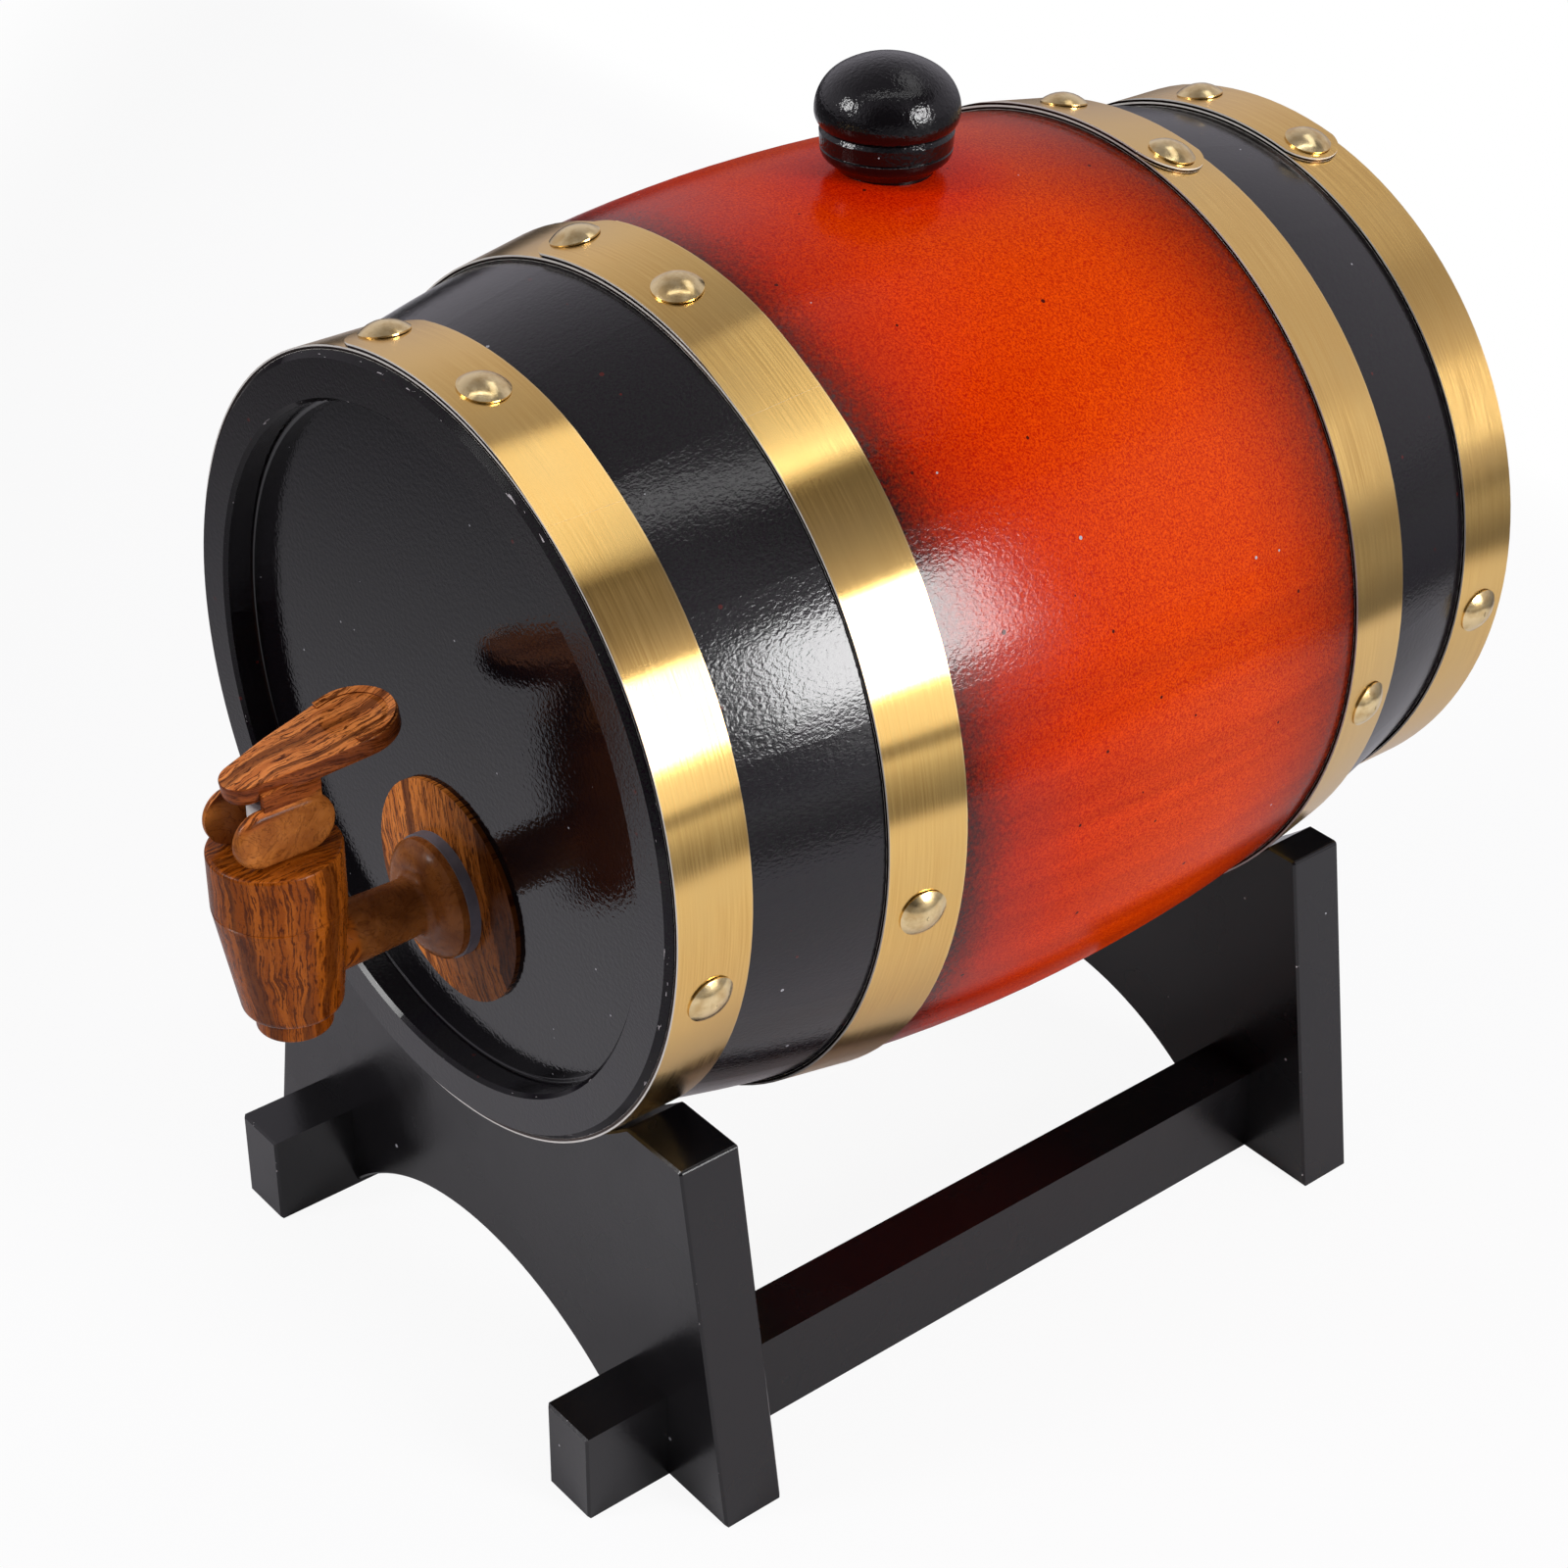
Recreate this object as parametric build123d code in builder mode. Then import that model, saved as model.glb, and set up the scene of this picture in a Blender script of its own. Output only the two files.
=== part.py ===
from build123d import *

import os
from collections import namedtuple
from math import atan2, cos, degrees, radians, sin, sqrt, tan

# Table-top oak cask that dispenses spirits through a lever tap. Sizes are in millimetres.
# +Z is up, the tap faces -Y, and the origin lies on the table under the middle of the dispenser.

os.makedirs("parts", exist_ok=True)

# ---------------------------------------------------------------- driving dimensions: cask
cask_length = 226.0            # chime to chime
axis_height = 144.8            # cask's axis above the table
chime_radius = 79.6            # outside of the staves at the two ends
belly_radius = 91.8            # outside of the staves at mid-length
chime_thickness = 9.6          # stave thickness at the two ends
belly_wall = 9.5               # stave thickness at mid-length
chime_bevel = 1.2
bore_bevel = 0.8
stave_count = 18
head_recess = 6.5              # head set back from the end of the chime
head_thickness = 9.0
head_edge = 5.0                # thickness of the head's rim in its groove
croze_depth = 2.5              # groove in the staves that holds the head
croze_clearance = 0.1

# ---------------------------------------------------------------- driving dimensions: hoops
strip_thickness = 0.9
strip_fit = 0.05               # hoop's inside to the wood
seat_margin = 0.3              # turned seat at the chimes reaches this far past its hoop
rivet_spacing = 31.4           # between the two rivets of a lap
tongue_reach = 6.4             # tip of the upper layer past its rivet
joggle_reach = 8.0             # start of the upper layer past the other rivet
joggle_length = 24.0           # gentle ramp where the strip climbs onto itself
joggle_sections = 6            # lofted along the ramp, so that it follows the cask
tongue_round = 1.02            # tip radius as a share of half the strip, so that it blends into the sides
rivet_head_radius = 5.0
rivet_dome = 1.9
rivet_rim = 0.3
rivet_shank_radius = 1.5
nail_shank_radius = 1.2
nail_length = 7.0              # nail's reach into the wood

front_head_hoop_width = 16.8
front_head_hoop_inset = 1.4    # hoop's outer edge from the end of the chime
front_quarter_hoop_width = 16.5
front_quarter_hoop_place = 67.9    # hoop's outer edge from the cask's mid-length
rear_quarter_hoop_width = 16.6
rear_quarter_hoop_place = 71.0
rear_head_hoop_width = 14.6
rear_head_hoop_inset = 0.8
# Angles around the cask are in degrees from straight up, towards +X.
front_lap_angle = -1.1
rear_lap_angle = 2.2
front_head_nail_angle = 101.5
front_quarter_nail_angle = 97.5
rear_quarter_nail_angle = 98.0
rear_head_nail_angle = 95.5

# ---------------------------------------------------------------- driving dimensions: bung
bung_from_middle = 2.5         # bung hole behind the cask's mid-length
bung_hole_radius = 9.5
bung_clearance = 0.08
bung_plug_length = 17.0
bung_gap = 0.3                 # knob's base above the staves
knob_base_radius = 9.9
knob_base_lip = 1.4            # bevel around the base
knob_collar_radius = 13.1
knob_groove_height = 4.1       # fine turned line around the collar
knob_groove_depth = 0.25
knob_groove_width = 0.45
knob_ledge_radius = 13.3       # upper edge of the collar
knob_ledge_height = 7.4
knob_neck_radius = 12.8
knob_neck_height = 8.2
knob_radius = 14.35
knob_widest_height = 11.4
knob_height = 22.1
knob_shoulder_radius = 9.2     # of the mushroom's edge, where it turns into the dome
plug_bevel = 0.6

# ---------------------------------------------------------------- driving dimensions: stand
board_thickness = 14.2
front_board_from_middle = -103.6   # front face of each board from the cask's mid-length
rear_board_from_middle = 66.3
board_height = 82.6
board_top_land = 7.8           # flat at the top, outside the wider of the two cradles
board_splay = 14.4             # foot past the top on each side
arch_half_span = 52.8
arch_rise = 22.4
cradle_clearance = 0.3         # cask to the lowest point of the cradle
cradle_ease = 2.5              # cradle's centre above the cask's axis
board_corner = 1.0
board_edge = 0.5
rail_width = 13.5
rail_height = 21.6
rail_inner = 51.9              # inner face of a rail from the middle plane
rail_front_overhang = 20.1
rail_rear_overhang = 12.0
rail_edge = 0.5

# ---------------------------------------------------------------- driving dimensions: tap
tap_height = 111.4             # axis of the tap's shank above the table
tap_axis_reach = 145.0         # valve's axis in front of the cask's mid-length
barrel_rise = 14.2             # barrel above the shank's axis, up to the cap
barrel_drop = 10.7             # barrel below the shank's axis
barrel_foot_radius = 9.8
barrel_foot_round = 2.1
cap_radius = 13.0
cap_length = 12.4
cap_top_round = 0.8
seam_bevel = 0.25
cap_spigot_length = 4.0
spigot_clearance = 0.05
spout_offset = 1.1             # spout behind the valve's axis
spout_radius = 7.55
spout_length = 4.5
spout_bore_radius = 5.4
spout_round = 0.8
chamber_radius = 8.0
seat_throat_radius = 4.2
throat_length = 2.9            # from the barrel's foot up to the 45 degree seat
shank_root_radius = 6.8
shank_tip_radius = 6.0
shank_bore_radius = 4.4
shank_fillet = 1.6
flange_radius = 12.7
flange_rim = 1.6
flange_thickness = 4.3
flange_crown = 0.8             # bulge of the flange's front face
tail_radius = 7.4              # threaded tail that passes through the head
tail_clearance = 0.1
tail_end_from_head = 26.0      # tail's end behind the head's outer face
rosette_radius = 23.7
rosette_thickness = 1.9
rosette_rim = 1.1
rosette_crown_radius = 14.5
washer_radius = 13.1
washer_thickness = 2.3
inner_washer_radius = 12.6
inner_washer_thickness = 2.5
nut_across_flats = 25.0
nut_thickness = 8.0
nut_chamfer = 0.8

# ---------------------------------------------------------------- driving dimensions: valve and lever
stem_radius = 4.5
stem_clearance = 0.08
stem_end = 4.95                # stem above its trunnions
stem_top_bevel = 0.6
stem_neck_radius = 2.2
stem_barb_radius = 3.0
stem_barb_height = 1.6
stem_neck_length = 1.6
seal_section_radius = 0.8
seal_clearance = 0.03
cup_top_radius = 5.6
cup_radius = 7.2
cup_nose_radius = 4.6
cup_lift = 0.28                # cup above its seat when shut
cup_band = 1.2
cup_height = 5.0               # cup above the foot of its nose
cam_clearance = 0.05           # cheeks above the cap
trunnion_radius = 1.6
trunnion_reach = 6.0
trunnion_clearance = 0.06
socket_reach = 6.15
cheek_gap = 4.9                # inner face of a cheek from the middle plane
cheek_thickness = 2.2
cheek_round = 1.6
cheek_height = 12.0
cheek_front_arm = 5.3          # pivot to the centre of the cheek's front end
cheek_rear_arm = 4.1           # pivot to the centre of its rear end, which is the cam
web_thickness = 1.4
web_front = 4.7                # web's front edge before the valve's axis
web_rear = 7.5
web_foot = 1.0                 # web's lower edge above the pivot
paddle_slope = 9.0             # degrees
paddle_rise = 12.15            # top of the paddle above the pivot, over the valve's axis
paddle_thickness = 4.3
paddle_bottom_round = 1.3
paddle_top_round = 0.4
paddle_tip_radius = 4.7        # the paddle is the hull of three circles: tip, middle and end
paddle_tip_reach = 5.1         # tip's centre in front of the valve's axis
paddle_middle_radius = 7.0
paddle_middle_reach = 5.0      # middle's centre behind the valve's axis
paddle_end_radius = 9.0
paddle_end_reach = 18.7
rim_height = 1.5
rim_width = 1.5
rim_round = 0.4
rim_start = 15.4               # where the raised rim begins, behind the valve's axis
scoop_ball_radius = 30.0       # thumb recess inside the rim is a shallow dish
scoop_depth = 0.6

# ---------------------------------------------------------------- places that follow from the sizes
half_length = cask_length / 2

# The tongue is the rounded end of a hoop's upper layer, and points to +X or -X.
Hoop = namedtuple("Hoop", "name front rear lap_angle tongue nail_angle")
hoops = [
    Hoop(
        "front_head_hoop",
        front_head_hoop_inset - half_length,
        front_head_hoop_inset - half_length + front_head_hoop_width,
        front_lap_angle,
        -1,
        front_head_nail_angle,
    ),
    Hoop(
        "front_quarter_hoop",
        -front_quarter_hoop_place,
        front_quarter_hoop_width - front_quarter_hoop_place,
        front_lap_angle,
        -1,
        front_quarter_nail_angle,
    ),
    Hoop(
        "rear_quarter_hoop",
        rear_quarter_hoop_place - rear_quarter_hoop_width,
        rear_quarter_hoop_place,
        rear_lap_angle,
        1,
        rear_quarter_nail_angle,
    ),
    Hoop(
        "rear_head_hoop",
        half_length - rear_head_hoop_inset - rear_head_hoop_width,
        half_length - rear_head_hoop_inset,
        rear_lap_angle,
        1,
        rear_head_nail_angle,
    ),
]

tap_reach = tap_axis_reach + cap_radius
cask_y = (tap_reach - half_length) / 2
cask_centre = Vector(0, cask_y, axis_height)
cask_axis = Axis(cask_centre, (0, 1, 0))
stave_angle = 360 / stave_count
front_seat = -hoops[0].rear - seat_margin
rear_seat = hoops[-1].front - seat_margin
belly_inside = belly_radius - belly_wall
bore_radius = chime_radius - chime_thickness
croze_front = half_length - head_recess
croze_rear = croze_front - head_edge
croze_radius = bore_radius + croze_depth
front_face_y = cask_y - croze_front

tap_y = cask_y - tap_axis_reach
tap_axis = Axis((0, tap_y, tap_height), (0, 1, 0))
valve_axis = Axis((0, tap_y, 0), (0, 0, 1))
washer_front_y = front_face_y - rosette_thickness - washer_thickness
flange_front_y = washer_front_y - flange_thickness
head_inside_y = front_face_y + head_thickness
tail_end_y = front_face_y + tail_end_from_head
bung_y = cask_y + bung_from_middle

cap_bottom = tap_height + barrel_rise
cap_top = cap_bottom + cap_length
barrel_foot = tap_height - barrel_drop
spout_bottom = barrel_foot - spout_length
seat_throat_top = barrel_foot + throat_length
pivot_height = cap_top + cheek_height / 2 + cam_clearance
stem_top = pivot_height + stem_end
seal_height = (cap_top + cap_bottom - cap_spigot_length) / 2
paddle_top = pivot_height + paddle_rise


# ---------------------------------------------------------------- shared geometry
def bilge_arc_radius(seat):
    """Radius of the stave's long curve, from the belly to a seat this far from mid-length."""
    rise = belly_radius - chime_radius
    return (seat**2 + rise**2) / (2 * rise)


def outer_radius(y):
    """Radius of the wood's outside at a distance y from the cask's mid-length."""
    seat = front_seat if y < 0 else rear_seat
    if abs(y) >= seat:
        return chime_radius
    arc = bilge_arc_radius(seat)
    return belly_radius - arc + sqrt(arc**2 - y**2)


def outer_slope(y):
    """Slope of the wood's outside, as radius per length along the cask."""
    seat = front_seat if y < 0 else rear_seat
    if abs(y) >= seat:
        return 0.0
    return -y / sqrt(bilge_arc_radius(seat) ** 2 - y**2)


def outward(angle):
    return Vector(sin(radians(angle)), 0, cos(radians(angle)))


def radial_plane(angle):
    """Plane through the cask's axis: local X runs along the cask and local Y outward."""
    along = Vector(0, 1, 0)
    return Plane(origin=cask_centre, x_dir=along, z_dir=along.cross(outward(angle)))


def facing_front(y):
    """Upright plane across the dispenser at y, looking out of the tap's side."""
    return Plane(origin=(0, y, 0), x_dir=(1, 0, 0), z_dir=(0, -1, 0))


def lengthwise_plane(y, z):
    """Upright plane along the dispenser: local X runs to the rear and local Y up."""
    return Plane(origin=(0, y, z), x_dir=(0, 1, 0), z_dir=(1, 0, 0))


def hoop_middle(hoop):
    return (hoop.front + hoop.rear) / 2


def around(hoop, length):
    """Angle that a length takes up around a hoop."""
    return degrees(length / outer_radius(hoop_middle(hoop)))


def strip_plane(hoop, angle, layers):
    """Plane on a hoop, on top of that many layers: local X runs around and local Z outward."""
    middle = hoop_middle(hoop)
    normal = (outward(angle) - Vector(0, outer_slope(middle), 0)).normalized()
    foot = cask_centre + Vector(0, middle, 0) + outward(angle) * outer_radius(middle)
    return Plane(
        origin=foot + normal * (strip_fit + layers * strip_thickness),
        x_dir=(cos(radians(angle)), 0, -sin(radians(angle))),
        z_dir=normal,
    )


def strip_section(hoop, layer, thickness):
    """Section of a hoop's strip in a radial plane, on top of that many layers."""
    slope = outer_slope(hoop_middle(hoop))
    inner = outer_radius(hoop_middle(hoop)) + strip_fit + layer * strip_thickness
    front = inner + slope * (hoop.front - hoop_middle(hoop))
    rear = inner + slope * (hoop.rear - hoop_middle(hoop))
    Polyline(
        (hoop.front, front),
        (hoop.rear, rear),
        (hoop.rear, rear + thickness),
        (hoop.front, front + thickness),
        close=True,
    )


def rivet_angles(hoop):
    half = around(hoop, rivet_spacing / 2)
    return [hoop.lap_angle - half, hoop.lap_angle + half]


def nail_angles(hoop):
    return [hoop.nail_angle, -hoop.nail_angle]


def headed_pin(plane, shank_radius, shank_length):
    """Domed head on a plane's surface, with its shank behind it."""
    dome_radius = (rivet_head_radius**2 + rivet_dome**2) / (2 * rivet_dome)
    half_way = rivet_head_radius / 2
    half_way_height = rivet_rim + rivet_dome - dome_radius + sqrt(dome_radius**2 - half_way**2)
    section = Plane(origin=plane.origin, x_dir=plane.x_dir, z_dir=plane.x_dir.cross(plane.z_dir))
    with BuildSketch(section, mode=Mode.PRIVATE) as outline:
        with BuildLine():
            Polyline(
                (0, rivet_rim + rivet_dome),
                (0, -shank_length),
                (shank_radius, -shank_length),
                (shank_radius, 0),
                (rivet_head_radius, 0),
                (rivet_head_radius, rivet_rim),
            )
            ThreePointArc(
                (rivet_head_radius, rivet_rim),
                (half_way, half_way_height),
                (0, rivet_rim + rivet_dome),
            )
        make_face()
    revolve(outline.sketch, axis=Axis(plane.origin, plane.z_dir))


# ---------------------------------------------------------------- stand
cradle_centre_height = axis_height + cradle_ease
half_lap = rail_height / 2


def cradle_radius(front_from_middle):
    """Radius of the hollow that clears the staves and any hoop over a board."""
    faces = (front_from_middle, front_from_middle + board_thickness)
    carried = max(outer_radius(face) for face in faces)
    for hoop in hoops:
        first, last = max(hoop.front, faces[0]), min(hoop.rear, faces[1])
        if first < last:
            wood = max(outer_radius(first), outer_radius(last))
            carried = max(carried, wood + strip_fit + strip_thickness)
    return carried + cradle_clearance + cradle_ease


def cradle_half_width(front_from_middle):
    """Half of the hollow's width at the top of the board."""
    depth = cradle_centre_height - board_height
    return sqrt(cradle_radius(front_from_middle) ** 2 - depth**2)


board_places = (front_board_from_middle, rear_board_from_middle)
board_top_half_width = board_top_land + max(cradle_half_width(place) for place in board_places)
board_foot_half_width = board_top_half_width + board_splay


def cradle_board(front_from_middle):
    """Board with an arched foot, sloping sides and a hollow that carries the cask."""
    rear_y = cask_y + front_from_middle + board_thickness
    cradle_half = cradle_half_width(front_from_middle)
    cradle_bottom = cradle_centre_height - cradle_radius(front_from_middle)
    with BuildPart() as board:
        with BuildSketch(facing_front(rear_y)):
            with BuildLine():
                Polyline(
                    (arch_half_span, 0),
                    (board_foot_half_width, 0),
                    (board_top_half_width, board_height),
                    (cradle_half, board_height),
                )
                ThreePointArc(
                    (cradle_half, board_height),
                    (0, cradle_bottom),
                    (-cradle_half, board_height),
                )
                Polyline(
                    (-cradle_half, board_height),
                    (-board_top_half_width, board_height),
                    (-board_foot_half_width, 0),
                    (-arch_half_span, 0),
                )
                ThreePointArc((-arch_half_span, 0), (0, arch_rise), (arch_half_span, 0))
            make_face()
        extrude(amount=board_thickness)
        top_corners = board.edges().filter_by(Axis.Y).group_by(Axis.Z)[-1]
        outer_corners = top_corners.sort_by(Axis.X)
        fillet([outer_corners[0], outer_corners[-1]], board_corner)
        chamfer(board.faces().filter_by(Axis.Y).edges(), board_edge)
        with BuildSketch(facing_front(rear_y)):
            for side in (-1, 1):
                with Locations((side * (rail_inner + rail_width / 2), half_lap / 2)):
                    Rectangle(rail_width, half_lap)
        extrude(amount=board_thickness, mode=Mode.SUBTRACT)
    return board


front_cradle_board = cradle_board(front_board_from_middle)
front_cradle_board.part.label = "front_cradle_board"
export_step(front_cradle_board.part, "parts/front_cradle_board.step")

rear_cradle_board = cradle_board(rear_board_from_middle)
rear_cradle_board.part.label = "rear_cradle_board"
export_step(rear_cradle_board.part, "parts/rear_cradle_board.step")

board_middles = [cask_y + place + board_thickness / 2 for place in board_places]
rail_front_y = cask_y + front_board_from_middle - rail_front_overhang
rail_rear_y = cask_y + rear_board_from_middle + board_thickness + rail_rear_overhang
for rail_name, side in (("left_rail", -1), ("right_rail", 1)):
    rail_x = side * (rail_inner + rail_width / 2)
    with BuildPart() as rail:
        with BuildSketch(Plane.XY):
            with Locations((rail_x, (rail_front_y + rail_rear_y) / 2)):
                Rectangle(rail_width, rail_rear_y - rail_front_y)
        extrude(amount=rail_height)
        chamfer(rail.faces().sort_by(Axis.Y)[0].edges(), rail_edge)
        chamfer(rail.faces().sort_by(Axis.Y)[-1].edges(), rail_edge)
        with BuildSketch(Plane.XY.offset(half_lap)):
            with Locations(*[(rail_x, y) for y in board_middles]):
                Rectangle(rail_width, board_thickness)
        extrude(amount=half_lap, mode=Mode.SUBTRACT)
    rail.part.label = rail_name
    export_step(rail.part, f"parts/{rail_name}.step")


# ---------------------------------------------------------------- staves
def long_arc(seat_y, seat_radius, middle_radius):
    """Arc from a seat to the middle of the cask, level at the middle."""
    rise = middle_radius - seat_radius
    arc = (seat_y**2 + rise**2) / (2 * rise)
    half_way = middle_radius - arc + sqrt(arc**2 - (seat_y / 2) ** 2)
    ThreePointArc((seat_y, seat_radius), (seat_y / 2, half_way), (0, middle_radius))


def stave_outline():
    for end, seat in ((-1, front_seat), (1, rear_seat)):
        Polyline(
            (end * seat, chime_radius),
            (end * (half_length - chime_bevel), chime_radius),
            (end * half_length, chime_radius - chime_bevel),
            (end * half_length, bore_radius + bore_bevel),
            (end * (half_length - bore_bevel), bore_radius),
            (end * croze_front, bore_radius),
            (end * croze_front, croze_radius),
            (end * croze_rear, croze_radius),
            (end * croze_rear, bore_radius),
        )
        long_arc(end * seat, chime_radius, belly_radius)
        long_arc(end * croze_rear, bore_radius, belly_inside)


for number in range(stave_count):
    first_angle = (number - 0.5) * stave_angle
    with BuildPart() as stave:
        with BuildSketch(radial_plane(first_angle)):
            with BuildLine():
                stave_outline()
            make_face()
        revolve(axis=cask_axis, revolution_arc=stave_angle)
        if number == 0:
            with BuildSketch(Plane((0, bung_y, axis_height))):
                Circle(bung_hole_radius)
            extrude(amount=2 * belly_radius, mode=Mode.SUBTRACT)
        for hoop in hoops:
            for angle in nail_angles(hoop):
                if 0 < (angle - first_angle) % 360 < stave_angle:
                    with BuildSketch(strip_plane(hoop, angle, 1)):
                        Circle(nail_shank_radius)
                    extrude(amount=-nail_length, mode=Mode.SUBTRACT)
    stave_name = "bung_stave" if number == 0 else f"stave_{number + 1:02d}"
    stave.part.label = stave_name
    export_step(stave.part, f"parts/{stave_name}.step")


# ---------------------------------------------------------------- heads
def head_disc(end):
    """Round head with its rim thinned on the inside, seated in the staves' groove."""
    edge_radius = croze_radius - croze_clearance
    shoulder_radius = bore_radius - (head_thickness - head_edge)
    with BuildPart() as head:
        with BuildSketch(radial_plane(0)):
            with BuildLine():
                Polyline(
                    (end * croze_front, 0),
                    (end * croze_front, edge_radius),
                    (end * croze_rear, edge_radius),
                    (end * croze_rear, bore_radius),
                    (end * (croze_front - head_thickness), shoulder_radius),
                    (end * (croze_front - head_thickness), 0),
                    close=True,
                )
            make_face()
        revolve(axis=cask_axis)
        if end < 0:
            with BuildSketch(facing_front(head_inside_y)):
                with Locations((0, tap_height)):
                    Circle(tail_radius + tail_clearance)
            extrude(amount=head_thickness, mode=Mode.SUBTRACT)
    return head


front_head = head_disc(-1)
front_head.part.label = "front_head"
export_step(front_head.part, "parts/front_head.step")

rear_head = head_disc(1)
rear_head.part.label = "rear_head"
export_step(rear_head.part, "parts/rear_head.step")

# ---------------------------------------------------------------- hoops, each a strip lapped on itself
for hoop in hoops:
    rivet_half = around(hoop, rivet_spacing / 2)
    tip_radius = tongue_round * (hoop.rear - hoop.front) / 2
    beyond_tip = 4 * tip_radius    # waste cut off around the tongue's round tip
    tip = rivet_half + around(hoop, tongue_reach)
    tip_centre = hoop.lap_angle + hoop.tongue * (tip - around(hoop, tip_radius))
    ramp_top = rivet_half + around(hoop, joggle_reach)
    ramp_foot = ramp_top + around(hoop, joggle_length)
    lap_low = hoop.lap_angle + min(hoop.tongue * tip, -hoop.tongue * ramp_top)
    with BuildPart() as strip:
        with BuildSketch(radial_plane(lap_low)):
            with BuildLine():
                strip_section(hoop, 1, strip_thickness)
            make_face()
        revolve(axis=cask_axis, revolution_arc=tip + ramp_top)
        with BuildSketch(strip_plane(hoop, tip_centre, 1)):
            with Locations((hoop.tongue * beyond_tip / 2, 0)):
                Rectangle(beyond_tip, beyond_tip)
            Circle(tip_radius, mode=Mode.SUBTRACT)
        extrude(amount=2 * strip_thickness, both=True, mode=Mode.SUBTRACT)
        for section in range(joggle_sections + 1):
            share = section / joggle_sections
            sunk = (1 - cos(radians(180 * share))) / 2
            angle = hoop.lap_angle - hoop.tongue * (ramp_top + share * (ramp_foot - ramp_top))
            with BuildSketch(radial_plane(angle)):
                with BuildLine():
                    strip_section(hoop, 1, strip_thickness - sunk * (strip_thickness - strip_fit))
                make_face()
        loft(ruled=True)
        with BuildSketch(radial_plane(0)):
            with BuildLine():
                strip_section(hoop, 0, strip_thickness)
            make_face()
        revolve(axis=cask_axis)
        for angle, shank_radius in (
            [(angle, rivet_shank_radius) for angle in rivet_angles(hoop)]
            + [(angle, nail_shank_radius) for angle in nail_angles(hoop)]
        ):
            with BuildSketch(strip_plane(hoop, angle, 2)):
                Circle(shank_radius)
            extrude(amount=3 * strip_thickness, both=True, mode=Mode.SUBTRACT)
    strip.part.label = hoop.name
    export_step(strip.part, f"parts/{hoop.name}.step")

with BuildPart() as lap_rivets:
    for hoop in hoops:
        for angle in rivet_angles(hoop):
            headed_pin(strip_plane(hoop, angle, 2), rivet_shank_radius, 2 * strip_thickness)
lap_rivets.part.label = "lap_rivets"
export_step(lap_rivets.part, "parts/lap_rivets.step")

with BuildPart() as hoop_nails:
    for hoop in hoops:
        for angle in nail_angles(hoop):
            headed_pin(strip_plane(hoop, angle, 1), nail_shank_radius, nail_length)
hoop_nails.part.label = "hoop_nails"
export_step(hoop_nails.part, "parts/hoop_nails.step")

# ---------------------------------------------------------------- bung
knob_base_z = axis_height + belly_radius + bung_gap
plug_radius = bung_hole_radius - bung_clearance
groove_top = knob_groove_height + knob_groove_width
dome_rise = knob_height - knob_widest_height
shoulder_centre = knob_radius - knob_shoulder_radius
crown_radius = (dome_rise**2 + shoulder_centre**2 - knob_shoulder_radius**2) / (
    2 * (dome_rise - knob_shoulder_radius)
)
shoulder_turn = degrees(atan2(crown_radius - dome_rise, shoulder_centre))
with BuildPart() as bung:
    with BuildSketch(lengthwise_plane(bung_y, knob_base_z)):
        with BuildLine():
            Polyline(
                (0, knob_height),
                (0, -bung_plug_length),
                (plug_radius - plug_bevel, -bung_plug_length),
                (plug_radius, plug_bevel - bung_plug_length),
                (plug_radius, 0),
                (knob_base_radius, 0),
                (knob_base_radius + knob_base_lip, knob_base_lip),
            )
            TangentArc(
                (knob_collar_radius, knob_groove_height),
                (knob_base_radius + knob_base_lip, knob_base_lip),
                tangent=(0, -1),
            )
            Polyline(
                (knob_collar_radius, knob_groove_height),
                (knob_collar_radius - knob_groove_depth, knob_groove_height + knob_groove_width / 2),
                (knob_collar_radius, groove_top),
                (knob_ledge_radius, knob_ledge_height),
                (knob_neck_radius, knob_neck_height),
            )
            TangentArc(
                (knob_radius, knob_widest_height),
                (knob_neck_radius, knob_neck_height),
                tangent=(0, -1),
            )
            shoulder = JernArc(
                start=(knob_radius, knob_widest_height),
                tangent=(0, 1),
                radius=knob_shoulder_radius,
                arc_size=shoulder_turn,
            )
            TangentArc(shoulder @ 1, (0, knob_height), tangent=shoulder % 1)
        make_face()
    revolve(axis=Axis((0, bung_y, 0), (0, 0, 1)))
bung.part.label = "bung"
export_step(bung.part, "parts/bung.step")

# ---------------------------------------------------------------- tap: fixed pieces
rear_of_rosette = front_face_y - rosette_thickness
through_head = tail_radius + tail_clearance

with BuildPart() as tap_rosette:
    with BuildSketch(lengthwise_plane(front_face_y, tap_height)):
        with BuildLine():
            Polyline(
                (0, through_head),
                (0, rosette_radius),
                (-rosette_rim, rosette_radius),
                (-rosette_thickness, rosette_crown_radius),
                (-rosette_thickness, through_head),
                close=True,
            )
        make_face()
    revolve(axis=tap_axis)
tap_rosette.part.label = "tap_rosette"
export_step(tap_rosette.part, "parts/tap_rosette.step")

with BuildPart() as outer_washer:
    with BuildSketch(facing_front(rear_of_rosette)):
        with Locations((0, tap_height)):
            Circle(washer_radius)
            Circle(through_head, mode=Mode.SUBTRACT)
    extrude(amount=washer_thickness)
outer_washer.part.label = "outer_washer"
export_step(outer_washer.part, "parts/outer_washer.step")

with BuildPart() as inner_washer:
    with BuildSketch(facing_front(head_inside_y + inner_washer_thickness)):
        with Locations((0, tap_height)):
            Circle(inner_washer_radius)
            Circle(through_head, mode=Mode.SUBTRACT)
    extrude(amount=inner_washer_thickness)
inner_washer.part.label = "inner_washer"
export_step(inner_washer.part, "parts/inner_washer.step")

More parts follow.
